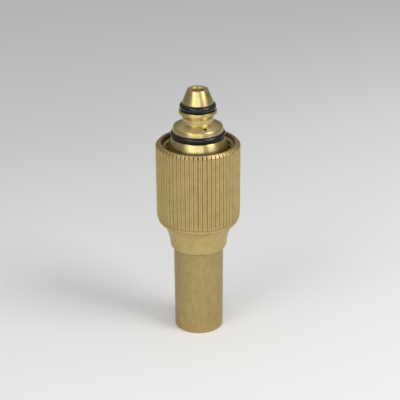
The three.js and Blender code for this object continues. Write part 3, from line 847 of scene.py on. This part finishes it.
def barrel():
    top_r, foot, top = span("barrel")
    foot_r = top_r - BARREL.taper
    cap_r, _, cap_top = span("air_cap")
    mouth_r = cap_r + FIT
    socket_foot = span("barrel_gasket")[1] - SEAT
    outline = [
        [mouth_r, foot, 0.12], [foot_r, foot, 0.3], [foot_r, foot + BARREL.foot_band], [top_r, top, 0.3],
        [STEM_R + FIT, top, 0.2], [STEM_R + FIT, socket_foot, 0.05], [BORE_R, socket_foot, 0.1],
        [BORE_R, cap_top, 0.1], [mouth_r, cap_top, 0.05],
    ]
    piece = turned("barrel_drawn", outline, FINE)
    return place(piece, "barrel", "nozzle_body", BARREL_BRASS)


def cap_lock_ring():
    outer_r, foot, top = span("cap_lock_ring")
    hole_r = LOCK_RING.hole_r
    outline = [[hole_r, foot, 0.25], [outer_r, foot, 0.15], [outer_r, top, 0.1], [hole_r, top, 0.1]]
    piece = turned("cap_lock_ring_turned", outline, FINE)
    milled(piece, bar(LOCK_RING.slot, (outer_r - LOCK_RING.slot_inset, 0, foot)), LOCK_RING.slots)
    return place(piece, "cap_lock_ring", "nozzle_body", TURNED_BRASS)


def air_cap():
    outer_r, foot, top = span("air_cap")
    hole_top = span("oil_jet")[1] - AIR_CAP.hole_drop
    rim_top = top - AIR_CAP.rim_drop
    boss_r = BORE_R - FIT
    piece = turned("air_cap_turned", [
        [AIR_CAP.hole_r, foot, 0.2], [outer_r, foot, 0.15], [outer_r, rim_top, 0.1], [boss_r, rim_top, 0.05],
        [boss_r, top, 0.1], [AIR_CAP.cone_r, top, 0.1], [AIR_CAP.hole_r, hole_top, 0.1],
    ], FINE)
    return place(piece, "air_cap", "nozzle_body", TURNED_BRASS)


def air_swirler():
    outer_r, foot, top = span("air_swirler")
    piece = plain_ring("air_swirler_turned", SWIRLER.bore_r, outer_r, foot, top, edge=0.1)
    cutter = bar(SWIRLER.slot, (SWIRLER.bore_r, 0, (foot + top) / 2), SWIRLER.lean_deg)
    milled(piece, cutter, SWIRLER.slots)
    return place(piece, "air_swirler", "nozzle_body", TURNED_BRASS)


def hexagon_cut(piece, across_flats, corner_r, foot, top):
    """Six flats milled round a turned head. The cutter stops at its foot and runs past its top."""
    size = (HEX_CUTTER.thickness, corner_r * HEX_CUTTER.width_share, top - foot + PAST)
    middle = ((across_flats + HEX_CUTTER.thickness) / 2, 0, (foot + top + PAST) / 2)
    return milled(piece, bar(size, middle), 6)


def oil_jet():
    low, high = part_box("oil_jet")
    foot, top = low[2] / MM, high[2] / MM
    hex_foot = foot + JET.hex_up
    chamber_foot = foot + JET.chamber_up
    piece = turned("oil_jet_turned", [
        [JET.mouth_r, foot, 0.12], [JET.nose_r, foot, 0.2], [JET.body_r, foot + JET.nose_height, 0.3],
        [JET.body_r, hex_foot, 0.1], [JET.corner_r, hex_foot, 0.35], [JET.corner_r, top, 0.35],
        [JET.chamber_r, top, 0.1], [JET.chamber_r, chamber_foot, 0.05], [JET.mouth_r, chamber_foot, 0.05],
    ])
    hexagon_cut(piece, JET.across_flats, JET.corner_r, hex_foot, top)
    return place(piece, "oil_jet", "nozzle_body", TURNED_BRASS)


def orifice_disc():
    outer_r, foot, top = span("orifice_disc")
    piece = turned("orifice_disc_turned", [
        [ORIFICE.hole_r, foot, 0.05], [outer_r, foot, 0.1], [outer_r, top, 0.1], [ORIFICE.entry_r, top, 0.05],
        [ORIFICE.hole_r, foot + ORIFICE.land, 0.02],
    ])
    return place(piece, "orifice_disc", "nozzle_body", STEEL)


def oil_distributor():
    outer_r, foot, top = span("oil_distributor")
    chamber_top = foot + DISTRIBUTOR.chamber_height
    piece = turned("oil_distributor_turned", [
        [0, chamber_top], [DISTRIBUTOR.chamber_r, chamber_top, 0.05], [DISTRIBUTOR.chamber_r, foot, 0.05],
        [outer_r, foot, 0.1], [outer_r, top, 0.1], [0, top],
    ], closed=False)
    milled(piece, bar(DISTRIBUTOR.slot, (outer_r, 0, (foot + top) / 2)), DISTRIBUTOR.slots)
    return place(piece, "oil_distributor", "nozzle_body", STEEL)


def distributor_screw():
    outer_r, foot, top = span("distributor_screw")
    piece = plain_ring("distributor_screw_turned", SCREW.bore_r, outer_r, foot, top, edge=0.15)
    milled(piece, bar(SCREW.slot, (outer_r - SCREW.slot_inset, 0, top)), SCREW.slots)
    return place(piece, "distributor_screw", "nozzle_body", TURNED_BRASS)


def oil_tube():
    collar_r, foot, top = span("oil_tube")
    collar_top = span("oil_jet")[2]
    piece = turned("oil_tube_drawn", [
        [TUBE.bore_r, foot, 0.05], [collar_r, foot, 0.2], [collar_r, collar_top, 0.15],
        [TUBE.r, collar_top, 0.1], [TUBE.r, top, 0.1], [TUBE.bore_r, top, 0.05],
    ])
    return place(piece, "oil_tube", "nozzle_body", TURNED_BRASS)


def window_cutter(inner_r, outer_r, leg_half, foot, top):
    """A cutter for the window between two of three legs, from the hub out past the rim."""
    corners = [Vector((math.sqrt(radius ** 2 - leg_half ** 2), leg_half)) for radius in (inner_r, outer_r)]
    axis = Vector((math.cos(TURN / 6), math.sin(TURN / 6)))
    mirrored = [2 * point.dot(axis) * axis - point for point in corners]
    start = math.atan2(corners[0].y, corners[0].x)
    end = math.atan2(mirrored[0].y, mirrored[0].x)
    arc = []
    for step in range(1, SPIDER.arc_steps):
        angle = end + (start - end) * step / SPIDER.arc_steps
        arc.append(Vector((math.cos(angle), math.sin(angle))) * inner_r)
    plan = [corners[0], corners[1], mirrored[1], mirrored[0], *arc]
    mesh = bmesh.new()
    lower = [mesh.verts.new((p.x * MM, p.y * MM, foot * MM)) for p in plan]
    upper = [mesh.verts.new((p.x * MM, p.y * MM, top * MM)) for p in plan]
    join_rings(mesh, lower, upper)
    mesh.faces.new(lower[::-1])
    mesh.faces.new(upper)
    return finish_mesh(mesh, "cutter")


def centring_spider():
    low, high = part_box("centring_spider")
    foot, top = low[2] / MM, high[2] / MM
    piece = plain_ring("centring_spider_turned", TUBE.r + FIT, BORE_R - FIT, foot, top, edge=0.1)
    past = SPIDER.window_past
    milled(piece, window_cutter(SPIDER.hub_r, SPIDER.window_r, SPIDER.leg_half, foot - past, top + past),
           SPIDER.legs)
    return place(piece, "centring_spider", "nozzle_body", TURNED_BRASS)


def oil_tube_gland():
    low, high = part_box("oil_tube_gland")
    foot, top = low[2] / MM, high[2] / MM
    hex_top = foot + GLAND.hex_height
    bore_r = TUBE.r + FIT
    thread_r = PASSAGE.tube_r - FIT
    piece = turned("oil_tube_gland_turned", [
        [bore_r, foot, 0.1], [GLAND.corner_r, foot, 0.3], [GLAND.corner_r, hex_top, 0.15],
        [thread_r, hex_top, 0.05], [thread_r, top, 0.15], [bore_r, top, 0.1],
    ])
    hexagon_cut(piece, GLAND.across_flats, GLAND.corner_r, foot, hex_top)
    return place(piece, "oil_tube_gland", "nozzle_body", TURNED_BRASS)


def oil_tube_seal():
    outer_r, foot, top = span("oil_tube_seal")
    section_r = (top - foot) / 2
    piece = round_ring("oil_tube_seal_moulded", outer_r - section_r, section_r, (top + foot) / 2, SMALL,
                       TUBE_SEAL_SIDES)
    return place(piece, "oil_tube_seal", "nozzle_body", NITRILE)


def inlet_strainer():
    collar_r, foot, top = span("inlet_strainer")
    collar_top = foot + STRAINER.collar_height
    inner_top = top - STRAINER.end
    piece = turned("inlet_strainer_pressed", [
        [STRAINER.bore_r, foot, 0.1], [collar_r, foot, 0.1], [collar_r, collar_top, 0.1],
        [STRAINER.body_r, collar_top, 0.1], [STRAINER.body_r, top, 0.5], [0, top], [0, inner_top],
        [STRAINER.bore_r, inner_top, 0.2],
    ])
    return place(piece, "inlet_strainer", "nozzle_body", SINTERED_BRONZE)


def copper_washer(node, inner_r):
    outer_r, foot, top = span(node)
    piece = plain_ring(node + "_stamped", inner_r, outer_r, foot, top, edge=0.06)
    return place(piece, node, "nozzle_body", COPPER)


# ---------- Floor, light and camera ----------

FLOOR_RINGS = (0, 300, 1200)  # radii, millimetres
NEAR_PAPER = (0.87, 0.89)  # the two tones of the floor below the nozzle
# painted shade: the floor's tone falls towards the back and the left, as the light falls off
PAINTED_FAR_TONE = 0.76
FAR_SLANT = -1.1  # how much sooner the painted shade darkens the floor to the left than away from the camera
FAR_RUN = (-20.0, 260.0)  # where the painted shade starts to darken the floor and where it is darkest, millimetres


def studio():
    mesh = bmesh.new()
    rings = [ring_of(mesh, radius, 0, SMALL) for radius in FLOOR_RINGS]
    for lower, upper in zip(rings, rings[1:]):
        join_rings(mesh, lower, upper)
    floor = finish_mesh(mesh, "floor")
    if floor.data.polygons[0].normal.z < 0:
        floor.data.flip_normals()
    material, graph, shader = new_material("paper")
    at = in_millimetres(graph)
    x, y, _ = graph.parts(at)
    mottle = graph.noise(at, scale=0.02, detail=2.0)
    paper = graph.mix(mottle, grey(NEAR_PAPER[0]), grey(NEAR_PAPER[1]))
    # painted shade, darker away from the camera and to the left
    painted_falloff = graph.ramp(graph.math("MULTIPLY_ADD", x, FAR_SLANT, y), *FAR_RUN)
    graph.feed(shader.inputs["Base Color"], graph.mix(painted_falloff, paper, grey(PAINTED_FAR_TONE)))
    shader.inputs["Roughness"].default_value = 0.9
    floor.data.materials.append(material)


LIGHT_AIM = Vector((0, 0, 40 * MM))


def soft_light(name, power, width, height, azimuth, elevation, distance):
    """A soft light aimed at the nozzle, in metres and degrees. Azimuth 0 is at the camera's side."""
    data = bpy.data.lights.new(name, "AREA")
    data.energy = power
    data.shape = "RECTANGLE"
    data.size = width
    data.size_y = height
    lamp = bpy.data.objects.new(name, data)
    turn, up = math.radians(azimuth), math.radians(elevation)
    toward = Vector((math.sin(turn) * math.cos(up), -math.cos(turn) * math.cos(up), math.sin(up)))
    lamp.location = LIGHT_AIM + distance * toward
    lamp.rotation_euler = (LIGHT_AIM - lamp.location).to_track_quat("-Z", "Y").to_euler()
    bpy.context.scene.collection.objects.link(lamp)


ROOM_LOW = 0.14  # tone of the room at the horizon
ROOM_HIGH = 0.52  # and overhead
ROOM_HIGH_FROM = 0.8  # height on the unit sphere above which the room is evenly light


def world_light():
    world = bpy.data.worlds.new("room")
    world.use_nodes = True
    tree = world.node_tree
    tree.nodes.clear()
    graph = Graph(tree)
    up = graph.parts(graph.add("ShaderNodeTexCoord").outputs["Generated"])[2]
    shade = graph.mix(graph.ramp(up, 0.0, ROOM_HIGH_FROM), grey(ROOM_LOW), grey(ROOM_HIGH))
    background = graph.add("ShaderNodeBackground", {"Color": shade, "Strength": 1.0})
    graph.add("ShaderNodeOutputWorld", {"Surface": background.outputs[0]})
    bpy.context.scene.world = world


LENS = 106.0
SENSOR_WIDTH = 36
VIEW_DOWN_DEG = 24.2
VIEW_DISTANCE = 318 * MM
VIEW_AIM = Vector((0.00045, 0, 0.03765))
VIEW_ROLL_DEG = -0.28


def camera():
    data = bpy.data.cameras.new("camera")
    data.lens = LENS
    data.sensor_width = SENSOR_WIDTH
    data.clip_start = 0.01
    data.clip_end = 10
    seen = bpy.data.objects.new("camera", data)
    down = math.radians(VIEW_DOWN_DEG)
    seen.location = VIEW_AIM + VIEW_DISTANCE * Vector((0, -math.cos(down), math.sin(down)))
    turn = Matrix.Rotation(math.pi / 2 - down, 4, "X") @ Matrix.Rotation(math.radians(VIEW_ROLL_DEG), 4, "Z")
    seen.rotation_euler = turn.to_euler()
    bpy.context.scene.collection.objects.link(seen)
    bpy.context.scene.camera = seen


camera()
studio()
world_light()
soft_light("front", power=1.22, width=0.72, height=0.12, azimuth=-8, elevation=22, distance=0.65)
soft_light("left", power=0.42, width=0.20, height=0.22, azimuth=-44, elevation=42, distance=0.48)
soft_light("right", power=1.02, width=0.22, height=0.24, azimuth=62, elevation=42, distance=0.48)
bpy.context.scene.view_settings.view_transform = "Standard"

spigot_head()
seal_ring("nose_seal_ring", NOSE_SEAT)
seal_ring("shoulder_seal_ring", SHOULDER_SEAT)
union_nut()
union_nut_thread()
slip_washer()
barrel()
cap_lock_ring()
air_cap()
copper_washer("air_cap_seal", BORE_R)
air_swirler()
oil_jet()
orifice_disc()
oil_distributor()
distributor_screw()
copper_washer("jet_gasket", TUBE.bore_r)
oil_tube()
centring_spider()
oil_tube_gland()
oil_tube_seal()
inlet_strainer()
copper_washer("barrel_gasket", BORE_R - GASKET_LEDGE)
